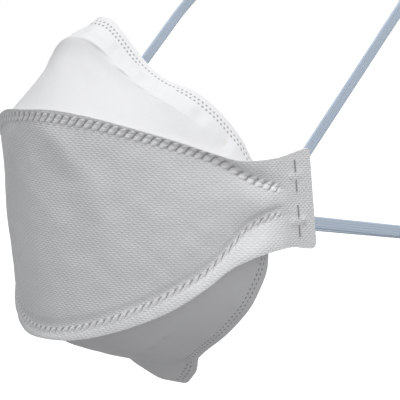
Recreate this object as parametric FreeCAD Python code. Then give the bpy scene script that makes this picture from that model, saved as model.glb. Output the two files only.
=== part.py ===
"""Disposable flat-fold dust mask, opened to its worn shape.

Frame: +Z up, -Y the front of the mask, +X the wearer's left. The origin lies midway between
the ends of the two side tabs, at the tabs' middle height. All lengths are in millimetres.
"""
import FreeCAD
import Part
import math
import os

V = FreeCAD.Vector

# ---- Overall size of the opened mask ----
HALF_WIDTH = 73.0        # middle plane to the outer face of a side tab
DEPTH = 84.0             # ends of the side tabs to the front of the centre panel
TAB_LENGTH = 16.0        # flat stretch of each side tab
FRONT_PULL = 34.0        # how far the plan curve runs on squarely from the front
SIDE_PULL = 26.0         # how far it runs on forwards from the flat tab
FRONT_TOP = 45.2         # centre panel at the front, above the tabs' middle height
FRONT_BOTTOM = 47.8      # and below it
TAB_HALF_HEIGHT = 20.4   # half the height of a side tab at its end
TAB_CORNER = 3.0         # radius of the tab's free corners

# ---- Weld lines that join the centre panel to the top and bottom panels ----
TOP_WELD_INSET = 2.6     # weld line below the top edge, at the front
BOTTOM_WELD_INSET = 2.8  # weld line above the bottom edge, at the front
TAB_WELD_TOP = 4.4       # where the top weld line runs out at the tab's end
TAB_WELD_BOTTOM = 3.6
SEAM_END = 0.867         # share of the half length at which the welds' panels end
PILLOW = 2.6             # how far the centre panel swells between its weld lines
WING_FLARE = 3.0         # how far its edges flare out beyond them

# ---- Top and bottom panels ----
NOSE_BACK = 41.0         # nose peak ahead of the tabs' ends
NOSE_HEIGHT = 78.0       # nose peak above the tabs' middle
CHIN_AHEAD = 26.4        # chin fold ahead of the tabs' ends
CHIN_DROP = 69.6         # chin fold below the tabs' middle
TOP_SWELL = 2.4          # outward swell of the top panel between weld and seal edge
BOTTOM_SWELL = 3.0
PANEL_END_HEIGHT = 3.4   # height that the top and bottom panels keep where they enter the tab

# ---- Layers ----
COVER = 0.4              # spunbond outer cover
STIFFENER = 0.4          # stiffening web, centre panel only
FILTER = 1.2             # filter web
INNER = 0.3              # inner cover
TAB_THICKNESS = 1.3      # all layers welded together at a side tab
LAYER_GAP = 0.2          # between layers of the same body
BODY_GAP = 0.3           # between pieces that move on each other
TAB_TO_BAND = 0.5        # side tab to the band that swings beside it
EDGE_INSET = 3.0         # inner layers stop this far from the weld lines

# ---- Nose clip and foam ----
CLIP_LENGTH = 90.0
CLIP_WIDTH = 5.0
CLIP_THICKNESS = 0.8
CLIP_FROM_EDGE = 10.0    # seal edge to the middle of the clip
FOAM_LENGTH = 86.0
FOAM_WIDTH = 11.0
FOAM_THICKNESS = 3.0
FOAM_FROM_EDGE = 9.5     # seal edge to the middle of the foam

# ---- Chin tab ----
CHIN_HALF_WIDTH = 26.0   # at the fold
CHIN_SIDE_END = 12.2     # half width where the slanted sides end
CHIN_TIP_WIDTH = 5.5     # half width of the straight tip
CHIN_CORNER = 2.5        # height of the round corners between them
CHIN_LENGTH = 13.0
CHIN_THICKNESS = 1.0
CHIN_ANGLE = -57.0       # hangs down and back, degrees from +Y
CHIN_GAP = 0.5           # fold clearance

# ---- Headbands and staples ----
BAND_WIDTH = 5.0
BAND_THICKNESS = 1.0
BAND_END = 3.5           # band that shows ahead of its staple
UPPER_BAND_ANGLE = 40.0  # degrees above +Y
UPPER_BAND_RUN = 92.0    # straight run from the staple
LOWER_BAND_ANGLE = -13.5
LOWER_BAND_RUN = 66.0
ARC_TURNS = 4            # equal turns that take a band round the back of the head
ARC_SHARE = 0.45         # share of the shorter run that a turn's arc takes up
STAPLE_AHEAD = 9.0       # staple line ahead of the tab's end
UPPER_STAPLE_Z = 10.4
LOWER_STAPLE_Z = -7.8
STAPLE_CROWN = 12.2      # between the middles of the two legs
STAPLE_WIRE = 0.5
STAPLE_CLINCH = 4.4      # length of each bent-over leg

# Shape curves as (share of the half length, share of the fall from front to tab).
TOP_EDGE_FALL = [(0, 0), (0.12, 0.015), (0.21, 0.10), (0.376, 0.35), (0.53, 0.64), (0.64, 0.88),
                 (0.70, 1.0), (0.78, 1.05), (0.88, 1.055), (1, 1)]
BOTTOM_EDGE_FALL = [(0, 0), (0.115, 0.011), (0.245, 0.109), (0.36, 0.248), (0.49, 0.474),
                    (0.58, 0.715), (0.655, 0.95), (0.72, 1.066), (0.80, 1.115), (0.885, 1.10), (1, 1)]
TOP_WELD_FALL = [(0, 0), (0.115, 0.021), (0.245, 0.10), (0.376, 0.226), (0.53, 0.405), (0.655, 0.584),
                 (0.736, 0.771), (0.82, 0.90), (0.90, 0.979), (1, 1)]
BOTTOM_WELD_FALL = [(0, 0), (0.115, 0.027), (0.23, 0.101), (0.36, 0.217), (0.49, 0.382), (0.58, 0.522),
                    (0.655, 0.71), (0.72, 0.884), (0.777, 0.952), (0.885, 0.986), (1, 1)]
# Shares of PILLOW and WING_FLARE along the half length.
PILLOW_SHARE = [(0, 0.2), (0.37, 0.27), (0.57, 0.73), (0.72, 1), (0.82, 0.5), (0.86, 0.16), (0.9, 0), (1, 0)]
FLARE_SHARE = [(0, 0.22), (0.41, 0.28), (0.61, 0.67), (0.72, 0.95), (0.78, 0.8), (0.84, 0.38), (0.87, 0.12),
               (0.9, 0), (1, 0)]
# Seal edge of each panel from the middle outwards, as shares of the half width, of the middle
# point's distance ahead of the tabs' ends, and of its height.
TOP_SEAL = [(0, 1, 1), (0.063, 0.985, 0.987), (0.145, 0.966, 0.922), (0.29, 0.922, 0.764),
            (0.378, 0.902, 0.697), (0.477, 0.873, 0.649), (0.575, 0.827, 0.617), (0.65, 0.78, 0.574),
            (0.778, 0.661, 0.433), (0.836, 0.602, 0.333), (0.877, 0.549, 0.224)]
BOTTOM_SEAL = [(0, 1, 1), (0.12, 1, 1), (0.25, 1.005, 0.985), (0.34, 1.03, 0.955), (0.423, 1.053, 0.9),
               (0.58, 1.042, 0.796), (0.714, 0.94, 0.672), (0.778, 0.875, 0.592), (0.83, 0.795, 0.486),
               (0.868, 0.72, 0.371), (0.884, 0.686, 0.25)]

# Positions that follow from the sizes above.
TAB_INNER_X = HALF_WIDTH - TAB_THICKNESS
BAND_X = TAB_INNER_X - TAB_TO_BAND - BAND_THICKNESS / 2
CROWN_X = BAND_X - BAND_THICKNESS / 2 - BODY_GAP - STAPLE_WIRE / 2
CLINCH_X = HALF_WIDTH + STAPLE_WIRE / 2 + 0.05
CHIN_FOLD = V(0, -CHIN_AHEAD, -CHIN_DROP)
TAB_ROOT_SHARE = 0.905   # share of the half length at which the panel is flat and fully welded


def smooth(stations, share):
    """Value at a share of the way, on a smooth curve through the stations."""
    count = len(stations)
    i = 0
    while i < count - 2 and share > stations[i + 1][0]:
        i += 1

    def slope(k):
        if k == 0 or k == count - 1:
            return 0.0
        before = stations[k][0] - stations[k - 1][0]
        after = stations[k + 1][0] - stations[k][0]
        rise_in = (stations[k][1] - stations[k - 1][1]) / before
        rise_out = (stations[k + 1][1] - stations[k][1]) / after
        return (rise_in * after + rise_out * before) / (before + after)

    width = stations[i + 1][0] - stations[i][0]
    t = (share - stations[i][0]) / width
    start, end = stations[i][1], stations[i + 1][1]
    return ((2 * t**3 - 3 * t**2 + 1) * start + (t**3 - 2 * t**2 + t) * width * slope(i)
            + (3 * t**2 - 2 * t**3) * end + (t**3 - t**2) * width * slope(i + 1))


def ease(x):
    """0 to 1 with level ends."""
    x = min(max(x, 0), 1)
    return x * x * (3 - 2 * x)


def make_plan_curve():
    """Half of the centre panel seen from above: a curve round the front, without the flat tab."""
    curve = Part.BezierCurve()
    curve.setPoles([V(0, -DEPTH, 0), V(FRONT_PULL, -DEPTH, 0),
                    V(HALF_WIDTH, -TAB_LENGTH - SIDE_PULL, 0), V(HALF_WIDTH, -TAB_LENGTH, 0)])
    return curve


PLAN = make_plan_curve()
PLAN_LENGTH = PLAN.length()
HALF_LENGTH = PLAN_LENGTH + TAB_LENGTH


def plan_point(share):
    """Point and outward normal of the centre panel's plan, at a share of its half length."""
    side = -1 if share < 0 else 1
    run = abs(share) * HALF_LENGTH
    if run >= PLAN_LENGTH:
        point, along = V(HALF_WIDTH, run - HALF_LENGTH, 0), V(0, 1, 0)
    else:
        parameter = PLAN.parameterAtDistance(run, 0)
        point, along = PLAN.value(parameter), PLAN.tangent(parameter)[0]
    return V(side * point.x, point.y, 0), V(side * along.y, -along.x, 0)


def fall(front, tab, stations, share):
    return front + (tab - front) * smooth(stations, abs(share))


def top_edge(share):
    return fall(FRONT_TOP, TAB_HALF_HEIGHT, TOP_EDGE_FALL, share)


def bottom_edge(share):
    return -fall(FRONT_BOTTOM, TAB_HALF_HEIGHT, BOTTOM_EDGE_FALL, share)


def top_weld(share):
    return fall(FRONT_TOP - TOP_WELD_INSET, TAB_WELD_TOP, TOP_WELD_FALL, share)


def bottom_weld(share):
    return -fall(FRONT_BOTTOM - BOTTOM_WELD_INSET, TAB_WELD_BOTTOM, BOTTOM_WELD_FALL, share)


def relief(share, z):
    """How far the centre panel stands out from its plan: a pillow between flared edges."""
    high, low = top_weld(share), bottom_weld(share)
    if low <= z <= high:
        across = (2 * z - high - low) / (high - low)
        return PILLOW * smooth(PILLOW_SHARE, abs(share)) * (1 - across**2)
    wing = (z - high) / (top_edge(share) - high) if z > high else (low - z) / (low - bottom_edge(share))
    return WING_FLARE * smooth(FLARE_SHARE, abs(share)) * (1 - (1 - wing)**2)


def centre_point(share, z, depth=0.0):
    """Point of the centre panel at a height, a depth below its outer face."""
    point, normal = plan_point(share)
    return point + normal * (relief(share, z) - depth) + V(0, 0, z)


def skin(rows):
    surface = Part.BSplineSurface()
    surface.interpolate(rows)
    return surface


def shell_solid(outer_rows, inner_rows):
    """Closed solid between two grids of points, with ruled sides."""
    outer, inner = skin(outer_rows), skin(inner_rows)
    faces = [outer.toShape(), inner.toShape()]
    u0, u1, v0, v1 = outer.bounds()
    a0, a1, b0, b1 = inner.bounds()
    rims = [(outer.uIso(u0), inner.uIso(a0)), (outer.uIso(u1), inner.uIso(a1)),
            (outer.vIso(v0), inner.vIso(b0)), (outer.vIso(v1), inner.vIso(b1))]
    for outer_rim, inner_rim in rims:
        faces.append(Part.makeRuledSurface(outer_rim.toShape(), inner_rim.toShape()))
    shell = Part.makeShell(faces)
    shell.sewShape()
    solid = Part.makeSolid(shell)
    if solid.Volume < 0:
        solid.reverse()
    return solid


def spread(start, end, count):
    return [start + (end - start) * i / (count - 1) for i in range(count)]


def layer(point_at, shares, rows, outer_depth, inner_depth):
    """A layer of a panel between two depths; point_at(share, row, depth) places its points."""
    outer_rows = [[point_at(share, row, outer_depth(share, row)) for row in rows] for share in shares]
    inner_rows = [[point_at(share, row, inner_depth(share, row)) for row in rows] for share in shares]
    return shell_solid(outer_rows, inner_rows)


# ---- Centre panel ----
def at_height(low, high):
    """Places points of the centre panel by their share of the way from low to high."""
    def place(share, row, depth):
        z = low(share) + (high(share) - low(share)) * row
        return centre_point(share, z, depth)
    return place


def centre_cover_thickness(share):
    """The cover's own thickness, growing into the tab, where all the layers are welded."""
    start = SEAM_END - 0.01
    return COVER + (TAB_THICKNESS - COVER) * ease((abs(share) - start) / (TAB_ROOT_SHARE - start))


def side_tab(side):
    """Flat end of the centre panel: all layers welded into one sheet, with rounded free corners."""
    r = TAB_CORNER
    x = side * TAB_INNER_X

    def edge_points(edge, stop):
        """Points along the top or bottom edge, from the tab's root to its rounded corner."""
        first = TAB_ROOT_SHARE
        return [V(x, (share - 1) * HALF_LENGTH, edge(share)) for share in spread(first, stop, 5)]

    stop = 1 - r / HALF_LENGTH
    top, bottom = edge_points(top_edge, stop), edge_points(bottom_edge, stop)
    edges = [Part.makeLine(bottom[0], top[0])]
    corners = []
    for points in (top, bottom):
        curve = Part.BSplineCurve()
        curve.interpolate(points)
        edges.append(curve.toShape())
        last = points[-1]
        way = 1 if last.z > 0 else -1
        swing = r * math.sin(math.radians(45))
        middle = last + V(0, swing, -way * (r - swing))
        corners.append(last + V(0, r, -way * r))
        edges.append(Part.Arc(last, middle, corners[-1]).toShape())
    edges.append(Part.makeLine(*corners))
    face = Part.Face(Part.Wire(Part.__sortEdges__(edges)))
    return face.extrude(V(side * TAB_THICKNESS, 0, 0))


def centre_outer_cover():
    """The curved cover between the tabs, fused with the two flat tabs."""
    curved = layer(at_height(bottom_edge, top_edge), spread(-TAB_ROOT_SHARE, TAB_ROOT_SHARE, 91),
                   spread(0, 1, 17), lambda share, row: 0, lambda share, row: centre_cover_thickness(share))
    return curved.fuse([side_tab(-1), side_tab(1)])


def centre_layer(outer_depth, thickness):
    """An inner layer of the centre panel, stopping short of the weld lines and the tabs."""
    inner_end = SEAM_END - EDGE_INSET * 2 / HALF_LENGTH
    place = at_height(lambda share: bottom_weld(share) + EDGE_INSET,
                      lambda share: top_weld(share) - EDGE_INSET)
    return layer(place, spread(-inner_end, inner_end, 49), spread(0, 1, 9),
                 lambda share, row: outer_depth, lambda share, row: outer_depth + thickness)


# ---- Top and bottom panels ----
class Panel:
    """A panel stretched from a weld line of the centre panel to its own seal edge."""

    def __init__(self, weld, seal_shares, ahead, height, swell):
        self.weld = weld
        self.up = 1 if height > 0 else -1
        self.swell = swell
        root = centre_point(SEAM_END, weld(SEAM_END), COVER + LAYER_GAP)
        half = [V(x * HALF_WIDTH, -y * ahead, z * height) for x, y, z in seal_shares]
        half.append(root + V(-0.3, -0.5, self.up * PANEL_END_HEIGHT))
        mirrored = [V(-p.x, p.y, p.z) for p in reversed(half[1:])]
        self.seal = Part.BSplineCurve()
        self.seal.interpolate(mirrored + half)
        self.seal_length = self.seal.length()

    def ends(self, u):
        """Weld end and seal end of the line across the panel at u, from -1 to 1."""
        start = centre_point(u * SEAM_END, self.weld(u * SEAM_END), COVER + LAYER_GAP)
        parameter = self.seal.parameterAtDistance((1 + u) / 2 * self.seal_length, self.seal.FirstParameter)
        return start, self.seal.value(parameter)

    def middle(self, u, v):
        """Point of the panel's outer face before it swells."""
        start, end = self.ends(u)
        return start + (end - start) * v

    def normal(self, u, v):
        step = 0.01
        u = min(max(u, -1 + step), 1 - step)
        along = self.middle(u + step, v) - self.middle(u - step, v)
        across = self.middle(u, 1) - self.middle(u, 0)
        out = along.cross(across) * self.up
        return out.normalize()

    def point(self, u, v, depth):
        swell = self.swell * 4 * v * (1 - v) * (1 - u * u)
        return self.middle(u, v) + self.normal(u, v) * (swell - depth)

    def from_edge(self, u, distance):
        """The share v that lies a distance inside the seal edge."""
        start, end = self.ends(u)
        return 1 - distance / (end - start).Length


TOP = Panel(top_weld, TOP_SEAL, NOSE_BACK, NOSE_HEIGHT, TOP_SWELL)
BOTTOM = Panel(bottom_weld, BOTTOM_SEAL, CHIN_AHEAD, -CHIN_DROP, BOTTOM_SWELL)


def clip_pocket(u, v):
    """0 to 1: how far the layers under the nose clip stand back to make room for it."""
    start, end = TOP.ends(u)
    from_edge = (1 - v) * (end - start).Length
    along = abs(u) * TOP.seal_length / 2
    run_out = 6.0
    across = 1 - ease((abs(from_edge - CLIP_FROM_EDGE) - CLIP_WIDTH / 2 - 1) / run_out)
    return across * (1 - ease((along - CLIP_LENGTH / 2 - 1) / run_out))


def no_pocket(u, v):
    return 0.0


def panel_cover(panel):
    return layer(panel.point, spread(-1, 1, 101), spread(0, 1, 11), lambda u, v: 0, lambda u, v: COVER)


def panel_layer(panel, outer_depth, thickness, pocket):
    """An inner layer of the top or bottom panel."""
    reach = 0.86
    room = CLIP_THICKNESS + LAYER_GAP

    def depth(u, v):
        return outer_depth + room * pocket(u, v)
    return layer(panel.point, spread(-reach, reach, 87), spread(0.08, 0.985, 15), depth,
                 lambda u, v: depth(u, v) + thickness)


def strip_on_panel(panel, length, width, from_edge, outer_depth, thickness):
    """A bar of even width that follows a panel's seal edge."""
    reach = length / panel.seal_length

    def place(u, row, depth):
        v = panel.from_edge(u, from_edge + width * (0.5 - row))
        return panel.point(u, v, depth)
    return layer(place, spread(-reach, reach, 37), spread(0, 1, 4),
                 lambda u, row: outer_depth, lambda u, row: outer_depth + thickness)


def nose_clip():
    return strip_on_panel(TOP, CLIP_LENGTH, CLIP_WIDTH, CLIP_FROM_EDGE, COVER + LAYER_GAP, CLIP_THICKNESS)


def nose_foam():
    depth = FIRST_DEPTH + FILTER + LAYER_GAP + INNER + LAYER_GAP + CLIP_THICKNESS + LAYER_GAP
    return strip_on_panel(TOP, FOAM_LENGTH, FOAM_WIDTH, FOAM_FROM_EDGE, depth, FOAM_THICKNESS)


# ---- Chin tab ----
def chin_tab():
    """Tongue hanging from the fold at the bottom panel's rear edge, drawn flat and tipped down."""
    side_end_down = CHIN_LENGTH - CHIN_CORNER
    slant = (CHIN_HALF_WIDTH - CHIN_SIDE_END) / (side_end_down - CHIN_GAP)

    def half_outline(side):
        root = V(side * CHIN_HALF_WIDTH, CHIN_GAP, 0)
        side_end = V(side * CHIN_SIDE_END, side_end_down, 0)
        meeting = V(side * (CHIN_SIDE_END - slant * CHIN_CORNER), CHIN_LENGTH, 0)
        corner = Part.BezierCurve()
        corner.setPoles([side_end, meeting, V(side * CHIN_TIP_WIDTH, CHIN_LENGTH, 0)])
        return [Part.makeLine(root, side_end), corner.toShape()]

    edges = half_outline(-1) + half_outline(1)
    for half, down in ((CHIN_HALF_WIDTH, CHIN_GAP), (CHIN_TIP_WIDTH, CHIN_LENGTH)):
        edges.append(Part.makeLine(V(-half, down, 0), V(half, down, 0)))
    wire = Part.Wire(Part.__sortEdges__(edges))
    tongue = Part.Face(wire).extrude(V(0, 0, CHIN_THICKNESS))
    tongue.rotate(V(0, 0, 0), V(1, 0, 0), CHIN_ANGLE)
    tongue.translate(CHIN_FOLD)
    return tongue


# ---- Headbands ----
def band_route(run):
    """Points of a band in its own plane, X across the head and Y back from the staples."""
    turn = math.pi / ARC_TURNS
    corner_radius = BAND_X / math.cos(turn / 2)
    points = [V(BAND_X, -BAND_END, 0)]
    for i in range(ARC_TURNS):
        way = turn * (i + 0.5)
        points.append(V(corner_radius * math.cos(way), run + corner_radius * math.sin(way), 0))
    points.append(V(-BAND_X, -BAND_END, 0))
    return points


def band_side(points, radii, offset):
    """Edges of one side of a band: the runs and turns of its middle line, moved by an offset."""
    directions = [(b - a).normalize() for a, b in zip(points, points[1:])]
    normals = [V(-d.y, d.x, 0) for d in directions]
    edges = []
    last = points[0] + normals[0] * offset
    for i, radius in enumerate(radii):
        before, after = directions[i], directions[i + 1]
        half_turn = before.getAngle(after) / 2
        cut = radius * math.tan(half_turn)
        centre = points[i + 1] - before * cut + normals[i] * radius
        side_radius = radius - offset
        start = centre - normals[i] * side_radius
        end = centre - normals[i + 1] * side_radius
        middle = centre - (normals[i] + normals[i + 1]).normalize() * side_radius
        edges += [Part.makeLine(last, start), Part.Arc(start, middle, end).toShape()]
        last = end
    edges.append(Part.makeLine(last, points[-1] + normals[-1] * offset))
    return edges


def headband(name, run, angle, staple_z):
    """Flat elastic band: a ribbon standing on its loop's plane, tipped up or down about the staples."""
    points = band_route(run)
    runs = [(b - a).Length for a, b in zip(points, points[1:])]
    half_turn = math.pi / ARC_TURNS / 2
    radii = [ARC_SHARE * min(a, b) / math.tan(half_turn) for a, b in zip(runs, runs[1:])]
    middle_line = Part.Wire(band_side(points, radii, 0))
    inside = band_side(points, radii, BAND_THICKNESS / 2)
    outside = band_side(points, radii, -BAND_THICKNESS / 2)
    caps = [Part.makeLine(inside[0].firstVertex().Point, outside[0].firstVertex().Point),
            Part.makeLine(inside[-1].lastVertex().Point, outside[-1].lastVertex().Point)]
    face = Part.Face(Part.Wire(Part.__sortEdges__(inside + outside + caps)))
    band = face.extrude(V(0, 0, BAND_WIDTH))
    band.translate(V(0, 0, -BAND_WIDTH / 2))
    band.rotate(V(0, 0, 0), V(1, 0, 0), angle)
    band.translate(V(0, -STAPLE_AHEAD, staple_z))
    expected = middle_line.Length * BAND_WIDTH * BAND_THICKNESS
    print(name, "turn radii", [round(r, 1) for r in radii], "length", round(middle_line.Length, 1),
          "volume", round(band.Volume, 1), "section x length", round(expected, 1))
    return band


# ---- Staples ----
def rod(start, end):
    """A stretch of staple wire with round ends."""
    r = STAPLE_WIRE / 2
    wire = Part.makeCylinder(r, (end - start).Length, start, end - start)
    return wire.fuse([Part.makeSphere(r, start), Part.makeSphere(r, end)])


def staple(side, z):
    """Crown over the band inside the tab, legs through the tab and clinched together outside it."""
    y = -STAPLE_AHEAD
    half = STAPLE_CROWN / 2
    crown_ends = [V(side * CROWN_X, y, z + half), V(side * CROWN_X, y, z - half)]
    wire = rod(*crown_ends)
    for end, way in zip(crown_ends, (1, -1)):
        bend = V(side * CLINCH_X, y, end.z)
        tip = V(side * CLINCH_X, y, end.z - way * STAPLE_CLINCH)
        wire = wire.fuse([rod(end, bend), rod(bend, tip)])
    return wire.removeSplitter()


FIRST_DEPTH = COVER + LAYER_GAP
CENTRE_FILTER_DEPTH = FIRST_DEPTH + STIFFENER + LAYER_GAP


def build():
    parts = {
        "centre_outer_cover": centre_outer_cover(),
        "centre_stiffener": centre_layer(FIRST_DEPTH, STIFFENER),
        "centre_filter": centre_layer(CENTRE_FILTER_DEPTH, FILTER),
        "centre_inner_cover": centre_layer(CENTRE_FILTER_DEPTH + FILTER + LAYER_GAP, INNER),
        "nose_clip": nose_clip(),
        "nose_foam": nose_foam(),
        "chin_tab": chin_tab(),
        "upper_headband": headband("upper_headband", UPPER_BAND_RUN, UPPER_BAND_ANGLE, UPPER_STAPLE_Z),
        "lower_headband": headband("lower_headband", LOWER_BAND_RUN, LOWER_BAND_ANGLE, LOWER_STAPLE_Z),
    }
    for name, panel, pocket in (("top", TOP, clip_pocket), ("bottom", BOTTOM, no_pocket)):
        parts[name + "_outer_cover"] = panel_cover(panel)
        parts[name + "_filter"] = panel_layer(panel, FIRST_DEPTH, FILTER, pocket)
        parts[name + "_inner_cover"] = panel_layer(panel, FIRST_DEPTH + FILTER + LAYER_GAP, INNER, pocket)
    for side_name, side in (("left", 1), ("right", -1)):
        for row_name, z in (("upper", UPPER_STAPLE_Z), ("lower", LOWER_STAPLE_Z)):
            parts[side_name + "_" + row_name + "_staple"] = staple(side, z)
    return parts


os.makedirs("parts", exist_ok=True)
for node, shape in build().items():
    print(node, shape.ShapeType, "valid", shape.isValid(), "volume", round(shape.Volume, 2))
    shape.exportStep("parts/" + node + ".step")
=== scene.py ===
"""Builds the looks of a disposable flat-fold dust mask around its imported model.

Shapes are worked out in millimetres, in the frame of the model: +Z up, -Y the front of the mask
and +X the wearer's left. They become metres where a mesh is made.
"""

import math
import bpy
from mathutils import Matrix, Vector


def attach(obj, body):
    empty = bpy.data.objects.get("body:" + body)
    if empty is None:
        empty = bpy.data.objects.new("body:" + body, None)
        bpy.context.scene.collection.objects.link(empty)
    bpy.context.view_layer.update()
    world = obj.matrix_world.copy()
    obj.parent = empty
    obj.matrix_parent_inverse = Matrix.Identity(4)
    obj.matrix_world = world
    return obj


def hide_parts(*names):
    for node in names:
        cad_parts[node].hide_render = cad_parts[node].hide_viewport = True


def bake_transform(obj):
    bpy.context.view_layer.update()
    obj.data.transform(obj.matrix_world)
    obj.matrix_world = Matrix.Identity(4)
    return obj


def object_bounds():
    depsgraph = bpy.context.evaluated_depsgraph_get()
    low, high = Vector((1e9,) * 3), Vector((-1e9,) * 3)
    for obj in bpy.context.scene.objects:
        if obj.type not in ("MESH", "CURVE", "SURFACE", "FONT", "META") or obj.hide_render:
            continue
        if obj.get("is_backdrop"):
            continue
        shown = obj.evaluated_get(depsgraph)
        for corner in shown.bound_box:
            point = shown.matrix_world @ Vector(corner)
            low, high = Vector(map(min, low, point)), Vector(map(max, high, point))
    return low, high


bl_info = {
    "name": "Disposable Dust Mask",
    "version": (1, 0, 0),
    "blender": (4, 5, 0),
    "location": "View3D > Sidebar > Dust Mask",
    "description": "Builds a flat-fold dust mask from welded webs, elastic headbands and staples",
    "category": "Object",
}

import bpy
import numpy as np
from bpy.props import FloatProperty, FloatVectorProperty, PointerProperty
from mathutils import Matrix, Vector

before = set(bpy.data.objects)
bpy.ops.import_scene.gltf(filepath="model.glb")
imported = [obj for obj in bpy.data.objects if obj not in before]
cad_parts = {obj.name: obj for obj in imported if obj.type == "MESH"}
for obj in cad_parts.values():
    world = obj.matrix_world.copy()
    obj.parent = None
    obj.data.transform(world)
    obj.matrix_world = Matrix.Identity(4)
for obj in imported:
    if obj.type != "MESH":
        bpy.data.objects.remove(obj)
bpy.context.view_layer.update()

MM = 0.001

# ---- The opened mask, in millimetres ----
HALF_WIDTH = 73.0
DEPTH = 84.0
TAB_LENGTH = 16.0
FRONT_PULL = 34.0
SIDE_PULL = 26.0
FRONT_TOP = 45.2
FRONT_BOTTOM = 47.8
TAB_HALF_HEIGHT = 20.4
TOP_WELD_INSET = 2.6
BOTTOM_WELD_INSET = 2.8
TAB_WELD_TOP = 4.4
TAB_WELD_BOTTOM = 3.6
SEAM_END = 0.867
TAB_ROOT_SHARE = 0.905
PILLOW = 2.6
WING_FLARE = 3.0
NOSE_BACK = 41.0
NOSE_HEIGHT = 78.0
CHIN_AHEAD = 26.4
CHIN_DROP = 69.6
TOP_SWELL = 2.4
BOTTOM_SWELL = 3.0
PANEL_END_HEIGHT = 3.4
LAYER_GAP = 0.2
CLIP_LENGTH = 90.0
CLIP_WIDTH = 5.0
CLIP_FROM_EDGE = 10.0
FOAM_FROM_EDGE = 9.5
FOAM_DEPTH = 5.0         # outer face of the top panel to the middle of the foam
CHIN_ANGLE = math.radians(-57)
STAPLE_AHEAD = 9.0
UPPER_STAPLE_HEIGHT = 10.4
LOWER_STAPLE_HEIGHT = -7.8
PINCH_DEPTH = 0.6        # outer face of the cover to where the other panels meet it
WEB_END_SHARE = 0.872    # where the weld bars and the layers behind the cover end
FIRST_LAYER_DEPTH = 0.45

# Middle lines of the headbands in their own planes: X across the head, Y back from the staples.
UPPER_ROUTE = [(70.7, -3.5), (70.7, 62.7), (70.7, 121.285), (29.285, 162.7), (-29.285, 162.7),
               (-70.7, 121.285), (-70.7, 62.7), (-70.7, -3.5)]
LOWER_ROUTE = [(70.7, -3.5), (70.7, 39.0), (70.7, 95.285), (29.285, 136.7), (-29.285, 136.7),
               (-70.7, 95.285), (-70.7, 39.0), (-70.7, -3.5)]
# Each headband's name, route, upward tilt in degrees and height at the staples.
HEADBANDS = [("upper", UPPER_ROUTE, 40.0, UPPER_STAPLE_HEIGHT),
             ("lower", LOWER_ROUTE, -13.5, LOWER_STAPLE_HEIGHT)]

# Shape curves as (share of the half length, share of the fall from front to tab).
TOP_EDGE_FALL = [(0, 0), (0.12, 0.015), (0.21, 0.10), (0.376, 0.35), (0.53, 0.64), (0.64, 0.88),
                 (0.70, 1.0), (0.78, 1.05), (0.88, 1.055), (1, 1)]
BOTTOM_EDGE_FALL = [(0, 0), (0.115, 0.011), (0.245, 0.109), (0.36, 0.248), (0.49, 0.474),
                    (0.58, 0.715), (0.655, 0.95), (0.72, 1.066), (0.80, 1.115), (0.885, 1.10), (1, 1)]
TOP_WELD_FALL = [(0, 0), (0.115, 0.021), (0.245, 0.10), (0.376, 0.226), (0.53, 0.405), (0.655, 0.584),
                 (0.736, 0.771), (0.82, 0.90), (0.90, 0.979), (1, 1)]
BOTTOM_WELD_FALL = [(0, 0), (0.115, 0.027), (0.23, 0.101), (0.36, 0.217), (0.49, 0.382), (0.58, 0.522),
                    (0.655, 0.71), (0.72, 0.884), (0.777, 0.952), (0.885, 0.986), (1, 1)]
# Shares of PILLOW and WING_FLARE along the half length.
PILLOW_SHARE = [(0, 0.2), (0.37, 0.27), (0.57, 0.73), (0.72, 1), (0.82, 0.5), (0.86, 0.16), (0.9, 0), (1, 0)]
FLARE_SHARE = [(0, 0.22), (0.41, 0.28), (0.61, 0.67), (0.72, 0.95), (0.78, 0.8), (0.84, 0.38), (0.87, 0.12),
               (0.9, 0), (1, 0)]
# Seal edge of each panel from the middle outwards, as shares of the half width, of the middle
# point's distance ahead of the tabs' ends, and of its height.
TOP_SEAL = [(0, 1, 1), (0.063, 0.985, 0.987), (0.145, 0.966, 0.922), (0.29, 0.922, 0.764),
            (0.378, 0.902, 0.697), (0.477, 0.873, 0.649), (0.575, 0.827, 0.617), (0.65, 0.78, 0.574),
            (0.778, 0.661, 0.433), (0.836, 0.602, 0.333), (0.877, 0.549, 0.224)]
BOTTOM_SEAL = [(0, 1, 1), (0.12, 1, 1), (0.25, 1.005, 0.985), (0.34, 1.03, 0.955), (0.423, 1.053, 0.9),
               (0.58, 1.042, 0.796), (0.714, 0.94, 0.672), (0.778, 0.875, 0.592), (0.83, 0.795, 0.486),
               (0.868, 0.72, 0.371), (0.884, 0.686, 0.25)]
# Crease across the top panel, as (share u along the seal edge, share v from weld to seal edge).
CREASE_LINE = [(0, 0.70), (0.13, 0.68), (0.21, 0.655), (0.29, 0.622), (0.36, 0.59), (0.47, 0.53),
               (0.59, 0.46), (0.75, 0.42), (1, 0.4)]
CREASE_STRENGTH = [(0, 1), (0.2, 1), (0.4, 0.7), (0.6, 0.3), (0.75, 0), (1, 0)]


# ---------------------------------------------------------------- settings

def length(name, description, default):
    """A length that the user can change, given in millimetres."""
    return FloatProperty(name=name, description=description, default=default * MM, min=0.0,
                         precision=5, unit="LENGTH", subtype="DISTANCE")


def colour(name, description, default):
    """A colour that the user can change."""
    return FloatVectorProperty(name=name, description=description, default=default, size=3,
                               min=0.0, max=1.0, subtype="COLOR")


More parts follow.
